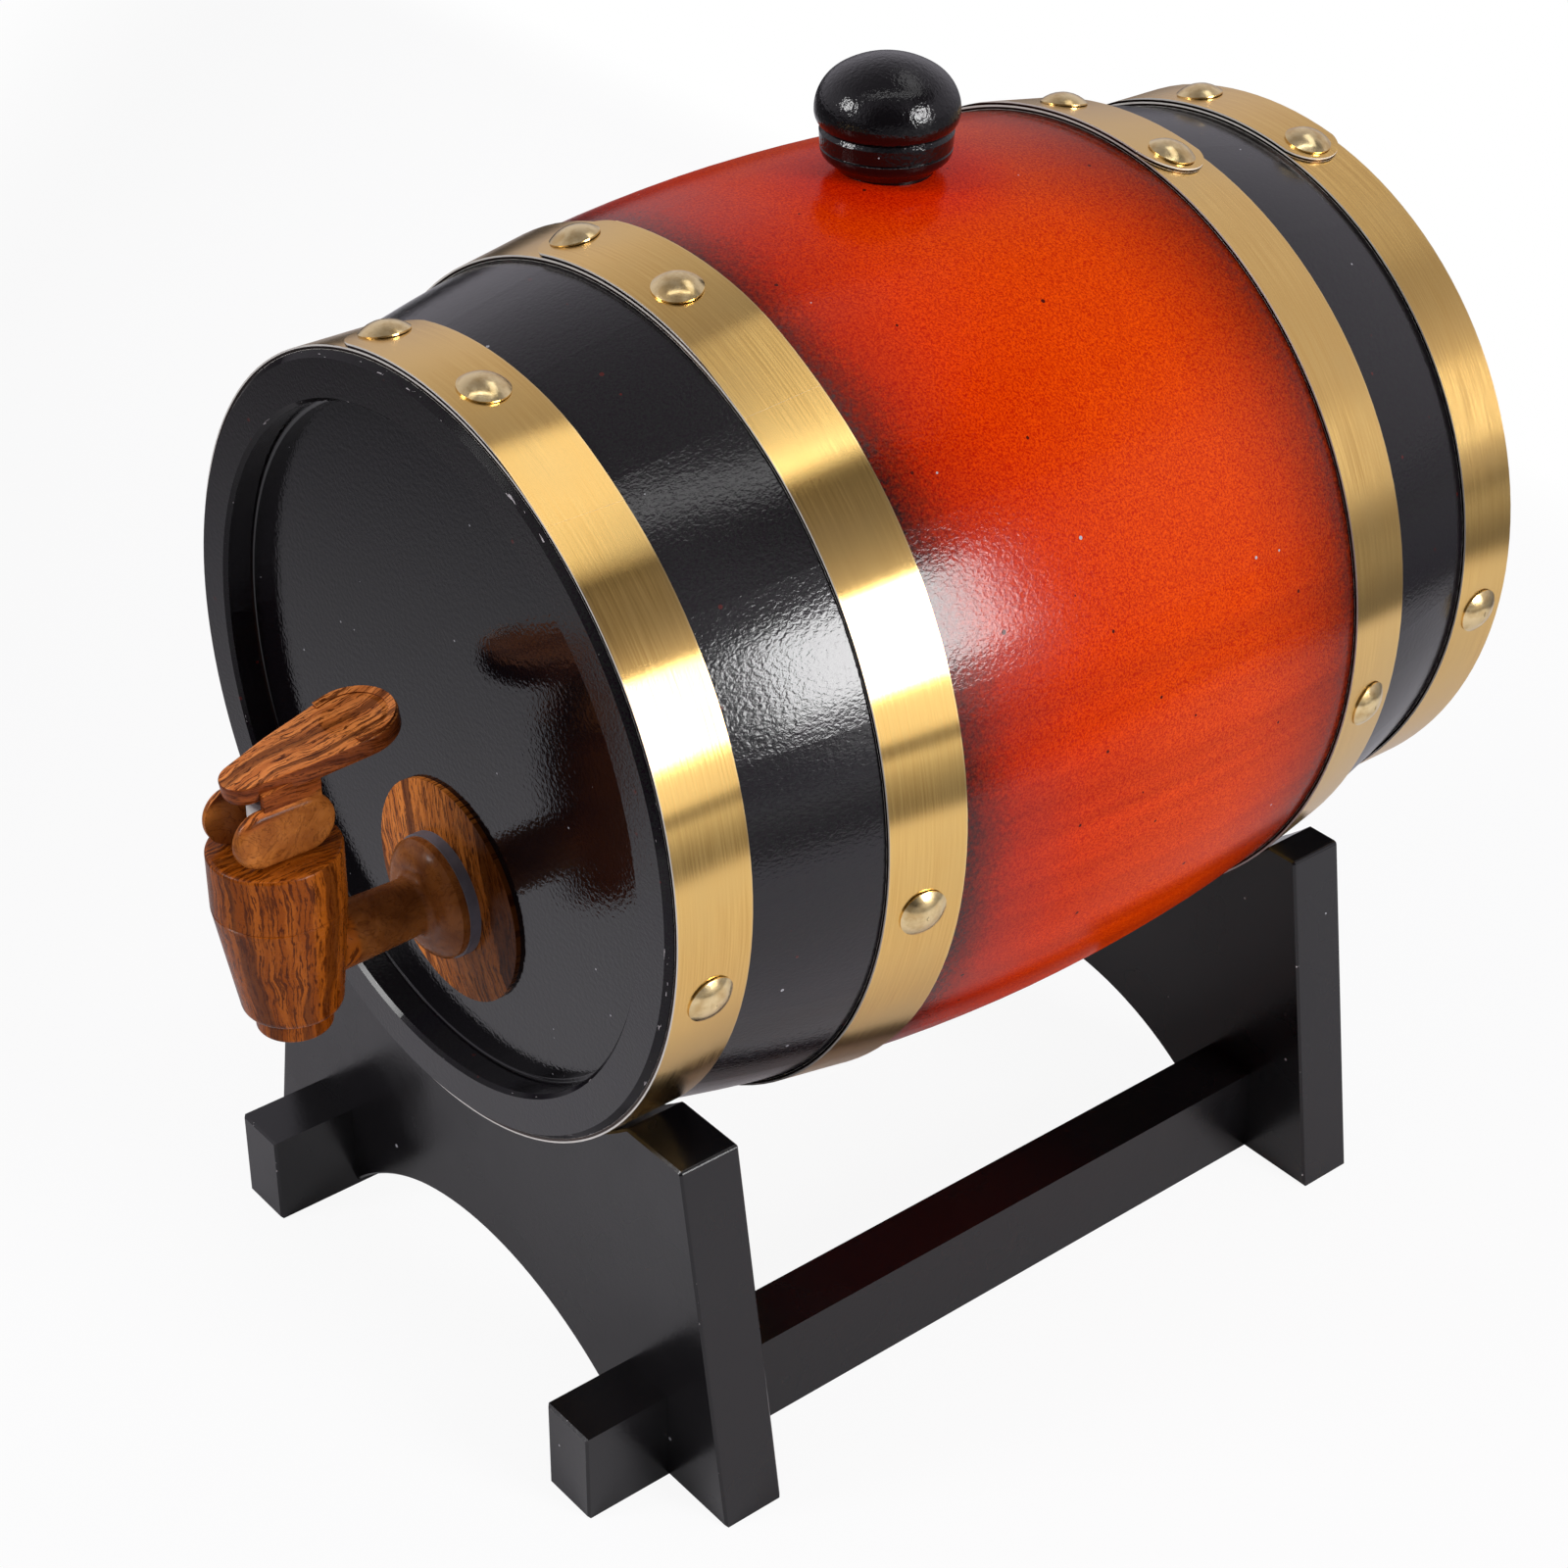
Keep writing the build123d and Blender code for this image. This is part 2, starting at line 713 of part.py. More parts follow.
nut_front_y = head_inside_y + inner_washer_thickness
with BuildPart() as back_nut:
    with BuildSketch(facing_front(nut_front_y + nut_thickness)):
        with Locations((0, tap_height)):
            RegularPolygon(nut_across_flats / 2, 6, major_radius=False)
            Circle(through_head, mode=Mode.SUBTRACT)
    extrude(amount=nut_thickness)
    nut_rear = back_nut.faces().sort_by(Axis.Y)[-1]
    chamfer(nut_rear.outer_wire().edges(), nut_chamfer)
back_nut.part.label = "back_nut"
export_step(back_nut.part, "parts/back_nut.step")

seat_height = chamber_radius - seat_throat_radius
with BuildPart() as tap_body:
    with BuildSketch(Plane.XY.offset(cap_bottom)):
        with Locations((0, tap_y)):
            Circle(cap_radius)
    with BuildSketch(Plane.XY.offset(barrel_foot)):
        with Locations((0, tap_y + spout_offset)):
            Circle(barrel_foot_radius)
    loft()
    fillet(tap_body.edges().group_by(Axis.Z)[0], barrel_foot_round)
    chamfer(tap_body.edges().group_by(Axis.Z)[-1], seam_bevel)
    with BuildSketch(Plane.XY.offset(spout_bottom)):
        with Locations((0, tap_y + spout_offset)):
            Circle(spout_radius)
    extrude(amount=barrel_foot - spout_bottom)
    fillet(tap_body.edges().group_by(Axis.Z)[0], spout_round)
    with BuildSketch(lengthwise_plane(tap_y, tap_height)):
        with BuildLine():
            flange_front = flange_front_y - tap_y
            flange_rear = washer_front_y - tap_y
            rim_front = flange_rear - flange_rim
            boss_edge = shank_tip_radius + shank_fillet
            Polyline(
                (0, 0),
                (0, shank_root_radius),
                (flange_front - shank_fillet, shank_tip_radius),
            )
            ThreePointArc(
                (flange_front - shank_fillet, shank_tip_radius),
                (flange_front - shank_fillet * (1 - sin(radians(45))),
                 shank_tip_radius + shank_fillet * (1 - cos(radians(45)))),
                (flange_front, boss_edge),
            )
            ThreePointArc(
                (flange_front, boss_edge),
                ((flange_front + rim_front - flange_crown) / 2,
                 (boss_edge + flange_radius) / 2 + flange_crown),
                (rim_front, flange_radius),
            )
            Polyline(
                (rim_front, flange_radius),
                (flange_rear, flange_radius),
                (flange_rear, tail_radius),
                (tail_end_y - tap_y, tail_radius),
                (tail_end_y - tap_y, 0),
                (0, 0),
            )
        make_face()
    revolve(axis=tap_axis)
    with BuildSketch(lengthwise_plane(tap_y, 0)):
        with BuildLine():
            Polyline(
                (0, cap_bottom),
                (chamber_radius, cap_bottom),
                (chamber_radius, seat_throat_top + seat_height),
                (seat_throat_radius, seat_throat_top),
                (seat_throat_radius, barrel_foot),
                (0, barrel_foot),
                close=True,
            )
        make_face()
    revolve(axis=valve_axis, mode=Mode.SUBTRACT)
    with BuildSketch(Plane.XY.offset(spout_bottom)):
        with Locations((0, tap_y + spout_offset)):
            Circle(spout_bore_radius)
    extrude(amount=(barrel_foot + seat_throat_top) / 2 - spout_bottom, mode=Mode.SUBTRACT)
    with BuildSketch(facing_front(tail_end_y)):
        with Locations((0, tap_height)):
            Circle(shank_bore_radius)
    extrude(amount=tail_end_y - tap_y, mode=Mode.SUBTRACT)
tap_body.part.label = "tap_body"
export_step(tap_body.part, "parts/tap_body.step")

guide_radius = stem_radius + stem_clearance
with BuildPart() as tap_cap:
    with BuildSketch(lengthwise_plane(tap_y, 0)):
        with BuildLine():
            Polyline(
                (guide_radius, cap_top),
                (cap_radius, cap_top),
                (cap_radius, cap_bottom + seam_bevel),
                (cap_radius - seam_bevel, cap_bottom),
                (chamber_radius - spigot_clearance, cap_bottom),
                (chamber_radius - spigot_clearance, cap_bottom - cap_spigot_length),
                (guide_radius, cap_bottom - cap_spigot_length),
                close=True,
            )
        make_face()
    revolve(axis=valve_axis)
    fillet(tap_cap.edges().group_by(Axis.Z)[-1].sort_by(SortBy.LENGTH)[-1], cap_top_round)
tap_cap.part.label = "tap_cap"
export_step(tap_cap.part, "parts/tap_cap.step")

# ---------------------------------------------------------------- valve
# The cup's 45 degree nose stands over the seat's cone by cup_lift.
cup_cone_foot = seat_throat_top + cup_lift - seat_throat_radius
stem_foot = cup_cone_foot + cup_nose_radius + cup_height
groove_radius = guide_radius - seal_clearance - 2 * seal_section_radius
barb_bottom = stem_foot - stem_neck_length - stem_barb_height
with BuildPart() as valve_stem:
    with BuildSketch(lengthwise_plane(tap_y, 0)):
        with BuildLine():
            Polyline(
                (0, stem_top),
                (stem_radius - stem_top_bevel, stem_top),
                (stem_radius, stem_top - stem_top_bevel),
                (stem_radius, seal_height + seal_section_radius),
                (groove_radius, seal_height + seal_section_radius),
                (groove_radius, seal_height - seal_section_radius),
                (stem_radius, seal_height - seal_section_radius),
                (stem_radius, stem_foot),
                (stem_neck_radius, stem_foot),
                (stem_neck_radius, stem_foot - stem_neck_length),
                (stem_barb_radius, stem_foot - stem_neck_length),
                (stem_neck_radius, barb_bottom),
                (0, barb_bottom),
                close=True,
            )
        make_face()
    revolve(axis=valve_axis)
    with BuildSketch(Plane.YZ.offset(-trunnion_reach)):
        with Locations((tap_y, pivot_height)):
            Circle(trunnion_radius)
    extrude(amount=2 * trunnion_reach)
valve_stem.part.label = "valve_stem"
export_step(valve_stem.part, "parts/valve_stem.step")

with BuildPart() as stem_seal:
    with BuildSketch(lengthwise_plane(tap_y, seal_height)):
        with Locations((groove_radius + seal_section_radius, 0)):
            Circle(seal_section_radius)
    revolve(axis=valve_axis)
stem_seal.part.label = "stem_seal"
export_step(stem_seal.part, "parts/stem_seal.step")

with BuildPart() as seat_cup:
    with BuildSketch(lengthwise_plane(tap_y, 0)):
        with BuildLine():
            Polyline(
                (0, stem_foot - cup_height),
                (cup_nose_radius, stem_foot - cup_height),
                (cup_radius, cup_cone_foot + cup_radius),
                (cup_radius, cup_cone_foot + cup_radius + cup_band),
                (cup_top_radius, stem_foot),
                (stem_neck_radius, stem_foot),
                (stem_neck_radius, stem_foot - stem_neck_length),
                (stem_barb_radius, stem_foot - stem_neck_length),
                (stem_neck_radius, barb_bottom),
                (0, barb_bottom),
                close=True,
            )
        make_face()
    revolve(axis=valve_axis)
seat_cup.part.label = "seat_cup"
export_step(seat_cup.part, "parts/seat_cup.step")

# ---------------------------------------------------------------- lever
paddle_along = Vector(0, cos(radians(paddle_slope)), sin(radians(paddle_slope)))
paddle_plane = Plane(
    origin=(0, tap_y, paddle_top), x_dir=(1, 0, 0), z_dir=Vector(1, 0, 0).cross(paddle_along)
)


def paddle_outline(inset):
    """Round-ended outline of the paddle, in its own plane."""
    with Locations((0, -paddle_tip_reach)):
        Circle(paddle_tip_radius - inset)
    with Locations((0, paddle_middle_reach)):
        Circle(paddle_middle_radius - inset)
    with Locations((0, paddle_end_reach)):
        Circle(paddle_end_radius - inset)
    make_hull()


def web_top(behind):
    """Height at which a web ends inside the paddle."""
    return paddle_top - paddle_thickness / 2 + behind * tan(radians(paddle_slope)) - pivot_height


with BuildPart() as lever:
    for side in (-1, 1):
        cheek_plane = lengthwise_plane(tap_y, pivot_height).offset(side * cheek_gap)
        with BuildSketch(cheek_plane):
            with Locations(((cheek_rear_arm - cheek_front_arm) / 2, 0)):
                SlotCenterToCenter(cheek_front_arm + cheek_rear_arm, cheek_height)
        extrude(amount=side * cheek_thickness)
    outer_sides = lever.faces().filter_by(Axis.X).sort_by(Axis.X)
    fillet([outer_sides[0].edges(), outer_sides[-1].edges()], cheek_round)
    with BuildSketch(paddle_plane):
        paddle_outline(0)
    extrude(amount=-paddle_thickness)
    fillet(lever.faces().filter_by(paddle_plane).sort_by(Axis.Z)[0].edges(), paddle_bottom_round)
    fillet(lever.faces().filter_by(paddle_plane).sort_by(Axis.Z)[-1].edges(), paddle_top_round)
    with BuildSketch(paddle_plane):
        paddle_outline(paddle_top_round)
        offset(amount=-rim_width, mode=Mode.SUBTRACT)
        with Locations((0, rim_start)):
            Rectangle(
                2 * paddle_end_radius,
                rim_start + paddle_tip_reach + paddle_tip_radius,
                align=(Align.CENTER, Align.MAX),
                mode=Mode.SUBTRACT,
            )
    extrude(amount=rim_height)
    fillet(lever.faces().filter_by(paddle_plane).sort_by(Axis.Z)[-1].edges(), rim_round)
    with Locations(paddle_plane.offset(scoop_ball_radius - scoop_depth).location):
        with Locations((0, paddle_end_reach)):
            Sphere(scoop_ball_radius, mode=Mode.SUBTRACT)
    for side in (-1, 1):
        cheek_plane = lengthwise_plane(tap_y, pivot_height).offset(side * cheek_gap)
        with BuildSketch(cheek_plane):
            with BuildLine():
                Polyline(
                    (-web_front, web_foot),
                    (web_rear, web_foot),
                    (web_rear, web_top(web_rear)),
                    (-web_front, web_top(-web_front)),
                    close=True,
                )
            make_face()
        extrude(amount=side * web_thickness)
        with BuildSketch(cheek_plane):
            Circle(trunnion_radius + trunnion_clearance)
        extrude(amount=side * (socket_reach - cheek_gap), mode=Mode.SUBTRACT)
lever.part.label = "lever"
export_step(lever.part, "parts/lever.step")
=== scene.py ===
import math

import bpy
from mathutils import Matrix, Vector


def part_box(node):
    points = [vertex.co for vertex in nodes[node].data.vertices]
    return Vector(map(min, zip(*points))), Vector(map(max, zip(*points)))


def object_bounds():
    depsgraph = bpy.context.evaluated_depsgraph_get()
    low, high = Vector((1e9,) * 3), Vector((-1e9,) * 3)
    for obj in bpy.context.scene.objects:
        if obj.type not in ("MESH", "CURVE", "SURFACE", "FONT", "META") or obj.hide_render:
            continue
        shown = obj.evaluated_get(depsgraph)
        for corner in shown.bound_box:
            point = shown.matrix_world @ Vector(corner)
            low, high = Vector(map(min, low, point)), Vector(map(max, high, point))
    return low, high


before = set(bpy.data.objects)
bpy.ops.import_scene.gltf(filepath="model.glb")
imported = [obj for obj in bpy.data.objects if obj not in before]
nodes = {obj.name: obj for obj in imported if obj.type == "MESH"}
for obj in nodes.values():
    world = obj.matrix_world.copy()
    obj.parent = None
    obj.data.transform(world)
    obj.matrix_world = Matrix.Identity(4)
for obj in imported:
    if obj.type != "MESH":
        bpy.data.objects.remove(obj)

cad_low, cad_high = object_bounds()
MM = 0.001

# ---------------------------------------------------------------- places, from the frame
STAVES = sorted(name for name in nodes if "stave" in name)
HOOPS = sorted(name for name in nodes if name.endswith("_hoop"))
STAND = ["front_cradle_board", "rear_cradle_board", "left_rail", "right_rail"]


def middle(node):
    low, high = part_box(node)
    return (Vector(low) + Vector(high)) / 2


head_low, head_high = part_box("front_head")
rear_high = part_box("rear_head")[1]
AXIS_Z = (head_low[2] + head_high[2]) / 2
CASK_Y = (head_low[1] + rear_high[1]) / 2
TAP_Y = middle("tap_cap").y
BUNG_Y = middle("bung").y
BARREL_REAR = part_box("tap_cap")[1][1]
STEM_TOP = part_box("valve_stem")[1][2]
HEAD_RADIUS = min(
    math.hypot(vertex.co.x, vertex.co.z - AXIS_Z)
    for name in STAVES for vertex in nodes[name].data.vertices
    if abs(vertex.co.y - head_low[1]) < 3 * MM)

# ---------------------------------------------------------------- places, stated
AROUND_CASK = 90 * MM           # radius that turns angles about the cask into ways around it
AROUND_BARREL = 12 * MM         # the same for the tap's barrel
BURST_LENGTH = 140 * MM         # the red and the fades at its ends
END_BEVELS = 108 * MM           # the staves' end bevels lie further than this from the middle
STREAKS = 56 * MM, -4 * MM      # heights above the cask's axis where streaks start and are full
BUNG_SHADE = 30 * MM, 14 * MM   # ways from the bung's axis where its shade starts and is full
COAT_REACH = 100 * MM           # the coat is dulled by shares of this way to the right
POOL = 0.9 * MM                 # the heads' lacquer pools this far in from their edge
STRIP = 0.9 * MM                # thickness of one layer of a hoop
STRIP_START = 0.02 * MM         # keeps a layer's outer side from counting as the next one's foot
PADDLE_SLOPE = math.tan(math.radians(9))


# ---------------------------------------------------------------- node helpers
class Nodes:
    """Makes and links the nodes of one material."""

    def __init__(self, name):
        self.material = bpy.data.materials.new(name)
        self.material.use_nodes = True
        self.tree = self.material.node_tree
        self.tree.nodes.clear()
        self.output = self.tree.nodes.new("ShaderNodeOutputMaterial")

    def add(self, kind, **settings):
        node = self.tree.nodes.new("ShaderNode" + kind)
        for key, value in settings.items():
            setattr(node, key, value)
        return node

    def link(self, source, target):
        self.tree.links.new(source, target)

    def put(self, socket, value):
        if isinstance(value, bpy.types.NodeSocket):
            self.link(value, socket)
        elif isinstance(value, tuple) and len(value) == 3 and socket.type == "RGBA":
            socket.default_value = (*value, 1.0)
        else:
            socket.default_value = value

    def math(self, operation, a, b=0.0, clamp=False):
        node = self.add("Math", operation=operation, use_clamp=clamp)
        self.put(node.inputs[0], a)
        self.put(node.inputs[1], b)
        return node.outputs[0]

    def product(self, first, *others):
        for other in others:
            first = self.math("MULTIPLY", first, other)
        return first

    def length(self, a, b):
        """Length of a vector with these two parts."""
        squares = self.math("ADD", self.math("POWER", a, 2.0), self.math("POWER", b, 2.0))
        return self.math("SQRT", squares)

    def mix(self, factor, a, b, blend="MIX"):
        node = self.add("Mix", data_type="RGBA", blend_type=blend)
        self.put(node.inputs[0], factor)
        self.put(node.inputs[6], a)
        self.put(node.inputs[7], b)
        return node.outputs[2]

    def ramp(self, factor, *stops):
        node = self.add("ValToRGB")
        elements = node.color_ramp.elements
        while len(elements) < len(stops):
            elements.new(0.5)
        for element, (position, colour) in zip(elements, stops):
            red, green, blue = colour if isinstance(colour, tuple) else (colour,) * 3
            element.position = position
            element.color = (red, green, blue, 1.0)
        self.put(node.inputs[0], factor)
        return node.outputs[0]

    def smooth(self, value, low, high):
        """Zero below low, one above high; the other way round when low is above high."""
        node = self.add("MapRange", interpolation_type="SMOOTHSTEP", clamp=True)
        self.put(node.inputs[0], value)
        node.inputs[1].default_value, node.inputs[2].default_value = min(low, high), max(low, high)
        if low > high:
            node.inputs[3].default_value, node.inputs[4].default_value = 1.0, 0.0
        return node.outputs[0]

    def noise(self, vector, scale, detail=2.0, roughness=0.5, distortion=0.0):
        node = self.add("TexNoise", noise_dimensions="3D")
        self.put(node.inputs["Vector"], vector)
        node.inputs["Scale"].default_value = scale
        node.inputs["Detail"].default_value = detail
        node.inputs["Roughness"].default_value = roughness
        node.inputs["Distortion"].default_value = distortion
        return node.outputs[0]

    def drift(self, vector, scale, reach, detail=2.0):
        """Noise that wanders to both sides of zero by up to about half the reach."""
        swing = self.math("SUBTRACT", self.noise(vector, scale, detail), 0.5)
        return self.product(swing, reach)

    def dots(self, vector, spacing, radius, share):
        """One on small round specks, in that share of the cells."""
        cells = self.add("TexVoronoi", feature="F1")
        self.put(cells.inputs["Vector"], vector)
        cells.inputs["Scale"].default_value = 1 / spacing
        split = self.add("SeparateColor")
        self.link(cells.outputs["Color"], split.inputs[0])
        chosen = self.math("LESS_THAN", split.outputs[0], share)
        size = self.product(split.outputs[1], radius / spacing)
        near = self.math("LESS_THAN", cells.outputs["Distance"], size)
        return self.product(chosen, near)

    def combine(self, x, y, z=0.0):
        node = self.add("CombineXYZ")
        for socket, value in zip(node.inputs, (x, y, z)):
            self.put(socket, value)
        return node.outputs[0]

    def position(self):
        """Object coordinates, whole and split up: they are the frame's own, in metres."""
        coordinates = self.add("TexCoord")
        split = self.add("SeparateXYZ")
        self.link(coordinates.outputs["Object"], split.inputs[0])
        return coordinates.outputs["Object"], split.outputs

    def facing(self):
        """The flat face's normal, split up."""
        geometry = self.add("NewGeometry")
        split = self.add("SeparateXYZ")
        self.link(geometry.outputs["True Normal"], split.inputs[0])
        return split.outputs

    def smooth_normal(self):
        return self.add("NewGeometry").outputs["Normal"]

    def unit(self, vector):
        node = self.add("VectorMath", operation="NORMALIZE")
        self.put(node.inputs[0], vector)
        return node.outputs["Vector"]

    def mix_vector(self, factor, a, b):
        node = self.add("Mix", data_type="VECTOR")
        self.put(node.inputs[0], factor)
        self.put(node.inputs[4], a)
        self.put(node.inputs[5], b)
        return node.outputs[1]

    def bump(self, height, distance, normal=None):
        node = self.add("Bump")
        self.put(node.inputs["Height"], height)
        node.inputs["Strength"].default_value = 1.0
        node.inputs["Distance"].default_value = distance
        if normal is not None:
            self.link(normal, node.inputs["Normal"])
        return node.outputs[0]

    def principled(self, **inputs):
        shader = self.add("BsdfPrincipled")
        for key, value in inputs.items():
            self.put(shader.inputs[key.replace("_", " ")], value)
        self.link(shader.outputs[0], self.output.inputs[0])
        return shader


def around_cask(m, split):
    """Way around the cask, way along it from its middle, and distance from its axis."""
    height = m.math("SUBTRACT", split[2], AXIS_Z)
    across = m.product(m.math("ARCTAN2", split[0], height), AROUND_CASK)
    along = m.math("SUBTRACT", split[1], CASK_Y)
    return across, along, m.length(split[0], height)


def end_edges(m):
    """One on the bevels of end faces, which lean between along the cask and away from it."""
    lean = m.math("ABSOLUTE", m.facing()[1])
    return m.product(m.math("GREATER_THAN", lean, 0.3), m.math("LESS_THAN", lean, 0.92))


# ---------------------------------------------------------------- materials
BLACK = (0.0034, 0.0029, 0.0038)
BURST_BLACK = (0.0078, 0.0062, 0.0086)
STAND_BLACK = (0.0034, 0.0029, 0.0036)
KNOB_BLACK = (0.0024, 0.0018, 0.0024)
# pale chips at bevels; on the cask's end bevels they are partly painted highlights
CHIPS_AND_GLINTS = (0.42, 0.39, 0.40)
DUST = (0.36, 0.36, 0.38)
WHITE = (1.0, 1.0, 1.0)
# Cut edges of the hoops' layers: a painted highlight on the outer part, a painted shadow below it.
CUT_LIP_GLINT = (0.72, 0.69, 0.64)
CUT_FOOT_SHADOW = (0.045, 0.028, 0.020)


def burst_tone(m, place, share):
    """Red in the middle of the cask and black at its ends, with a fine mottle."""
    burst = m.ramp(
        share,
        (0.09, BURST_BLACK),
        (0.125, (0.028, 0.005, 0.004)),
        (0.165, (0.19, 0.010, 0.003)),
        (0.22, (0.43, 0.017, 0.001)),
        (0.32, (0.58, 0.028, 0.0002)),
        (0.50, (0.625, 0.041, 0.0002)),
        (0.66, (0.60, 0.041, 0.0002)),
        (0.76, (0.45, 0.029, 0.001)),
        (0.84, (0.27, 0.018, 0.002)),
        (0.90, (0.05, 0.006, 0.004)),
        (0.94, BURST_BLACK),
    )
    mottle = m.ramp(
        m.noise(place, scale=2300, detail=3, roughness=0.7),
        (0.38, (0.66, 0.28, 0.5)),
        (0.60, (1.10, 1.55, 1.0)),
    )
    return m.mix(1.0, burst, mottle, "MULTIPLY")


def burst_shade(m, split, across, along):
    """Darker lengthwise streaks over the lower side, and painted shade of the knob: a deeper red
    around the bung.
    """
    lengthwise = m.combine(across, m.product(along, 0.05))
    low_side = m.smooth(m.math("SUBTRACT", split[2], AXIS_Z), *STREAKS)
    streak = m.ramp(
        m.noise(lengthwise, scale=95, detail=3, roughness=0.55),
        (0.42, (0.97, 0.96, 1.0)),
        (0.62, (0.76, 0.70, 1.0)),
    )
    from_bung = m.length(split[0], m.math("SUBTRACT", split[1], BUNG_Y))
    # painted shade of the knob: the red turns deeper near the bung, where the knob shades it
    bung_painted_shade = m.mix(m.smooth(from_bung, *BUNG_SHADE), WHITE, (0.96, 0.42, 1.0))
    return m.mix(1.0, m.mix(low_side, WHITE, streak), bung_painted_shade, "MULTIPLY")


def burst_coat(m, split, share, bevel):
    """Weight of the coat: full on the black, less on the red, least on its upper right side."""
    coat = m.ramp(
        share, (0.10, 1.0), (0.14, 0.74), (0.22, 0.56), (0.34, 0.29), (0.84, 0.38), (0.94, 0.78))
    dulled = m.ramp(
        m.math("DIVIDE", split[0], COAT_REACH),
        (0.02, 1.0), (0.25, 0.55), (0.38, 0.28), (0.58, 0.28), (0.66, 0.60), (0.74, 1.0))
    on_red = m.product(m.smooth(share, 0.11, 0.17), m.smooth(share, 0.93, 0.85))
    upper = m.math("GREATER_THAN", split[2], AXIS_Z)
    thinner = m.mix(m.product(on_red, upper), WHITE, dulled)
    on_bevel = m.math("SUBTRACT", 1.0, m.product(bevel, 0.6))
    return m.product(coat, thinner, on_bevel)


def cask_lacquer():
    """Black with a red burst under a clear coat; pale chips on the staves' end bevels, partly wear
    and partly painted highlights of glints along them.
    """
    m = Nodes("cask_lacquer")
    place, split = m.position()
    across, along, radius = around_cask(m, split)
    wander = m.drift(place, scale=24, reach=9 * MM, detail=3)
    mist = m.drift(place, scale=1100, reach=12 * MM, detail=3)
    where = m.math("ADD", m.math("ADD", along, wander), mist)
    share = m.math("ADD", m.math("DIVIDE", where, BURST_LENGTH), 0.5)
    shade = burst_shade(m, split, across, along)
    toned = m.mix(1.0, burst_tone(m, place, share), shade, "MULTIPLY")
    pits = m.dots(place, spacing=5 * MM, radius=0.5 * MM, share=0.5)
    dust = m.dots(place, spacing=7 * MM, radius=0.4 * MM, share=0.35)
    dusted = m.mix(dust, m.mix(pits, toned, (0.06, 0.006, 0.004)), DUST)
    bevel = end_edges(m)
    rim = m.combine(m.product(across, 0.22), m.product(radius, 1.5), along)
    # pale marks on the end bevels: partly chipped wear, partly painted highlights of glints
    chips_and_glints_mask = m.math("GREATER_THAN", m.noise(rim, scale=900, detail=3, roughness=0.6), 0.68)
    at_end = m.math("GREATER_THAN", m.math("ABSOLUTE", along), END_BEVELS)
    skin = m.combine(across, m.product(along, 0.7), radius)
    peel = m.noise(skin, scale=1300, detail=2, roughness=0.5, distortion=0.5)
    normal = m.bump(m.product(peel, m.math("SUBTRACT", 1.0, bevel)), 0.050 * MM)
    shader = m.principled(
        Base_Color=m.mix(m.product(chips_and_glints_mask, bevel, at_end), dusted, CHIPS_AND_GLINTS),
        Roughness=0.5,
        Specular_IOR_Level=0.0,
        Coat_Weight=burst_coat(m, split, share, bevel),
        Coat_Roughness=0.135,
        Normal=normal,
    )
    m.link(normal, shader.inputs["Coat Normal"])
    return m.material


def black_lacquer():
    """Thick gloss black that runs up the chime's wall at a head's edge, with dust in it."""
    m = Nodes("black_lacquer")
    place, split = m.position()
    radius = around_cask(m, split)[2]
    pooled = m.smooth(radius, HEAD_RADIUS - POOL, HEAD_RADIUS)
    peel = m.noise(place, scale=1000)
    surface = m.math("ADD", m.product(peel, 0.055), m.product(pooled, 0.5))
    coarse_dust = m.dots(place, spacing=8 * MM, radius=0.4 * MM, share=0.35)
    fine_dust = m.dots(place, spacing=4 * MM, radius=0.22 * MM, share=0.5)
    m.principled(
        Base_Color=m.mix(m.math("ADD", coarse_dust, fine_dust, clamp=True), BLACK, DUST),
        Roughness=m.ramp(m.noise(place, scale=60, detail=3), (0.35, 0.05), (0.65, 0.08)),
        Normal=m.bump(surface, MM),
    )
    return m.material


def knob_lacquer():
    """Thick dipped black, pimpled like the skin of an orange."""
    m = Nodes("knob_lacquer")
    place, _ = m.position()
    dust = m.dots(place, spacing=4 * MM, radius=0.25 * MM, share=0.4)
    m.principled(
        Base_Color=m.mix(dust, KNOB_BLACK, DUST),
        Roughness=m.ramp(m.noise(place, scale=160, detail=3), (0.35, 0.07), (0.65, 0.11)),
        Specular_IOR_Level=0.40,
        Normal=m.bump(m.noise(place, scale=1250, roughness=0.55), 0.13 * MM),
    )
    return m.material


def stand_lacquer():
    """Satin black with dust in it, chipped on the bevels of end faces."""
    m = Nodes("stand_lacquer")
    place, _ = m.position()
    chips_and_glints_mask = m.math("GREATER_THAN", m.noise(place, scale=420, detail=4, roughness=0.7), 0.67)
    dust = m.dots(place, spacing=9 * MM, radius=0.45 * MM, share=0.4)
    m.principled(
        Base_Color=m.mix(m.product(chips_and_glints_mask, end_edges(m)), m.mix(dust, STAND_BLACK, DUST), CHIPS_AND_GLINTS),
        Roughness=m.ramp(m.noise(place, scale=45, detail=3), (0.35, 0.20), (0.65, 0.30)),
        Normal=m.bump(m.noise(place, scale=900), 0.02 * MM),
    )
    return m.material


def strip_cone(hoop):
    """Radius of a hoop's outer side at its front, and how much it leans towards the rear."""
    (_, front, _), (_, rear, _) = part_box(hoop)
    spots = [vertex.co for vertex in nodes[hoop].data.vertices if vertex.co.z < AXIS_Z]

    def reach(y):
        near = [spot for spot in spots if abs(spot.y - y) < 0.5 * MM]
        return max(math.hypot(spot.x, spot.z - AXIS_Z) for spot in near)

    return reach(front), (reach(front) - reach(rear)) / (rear - front)


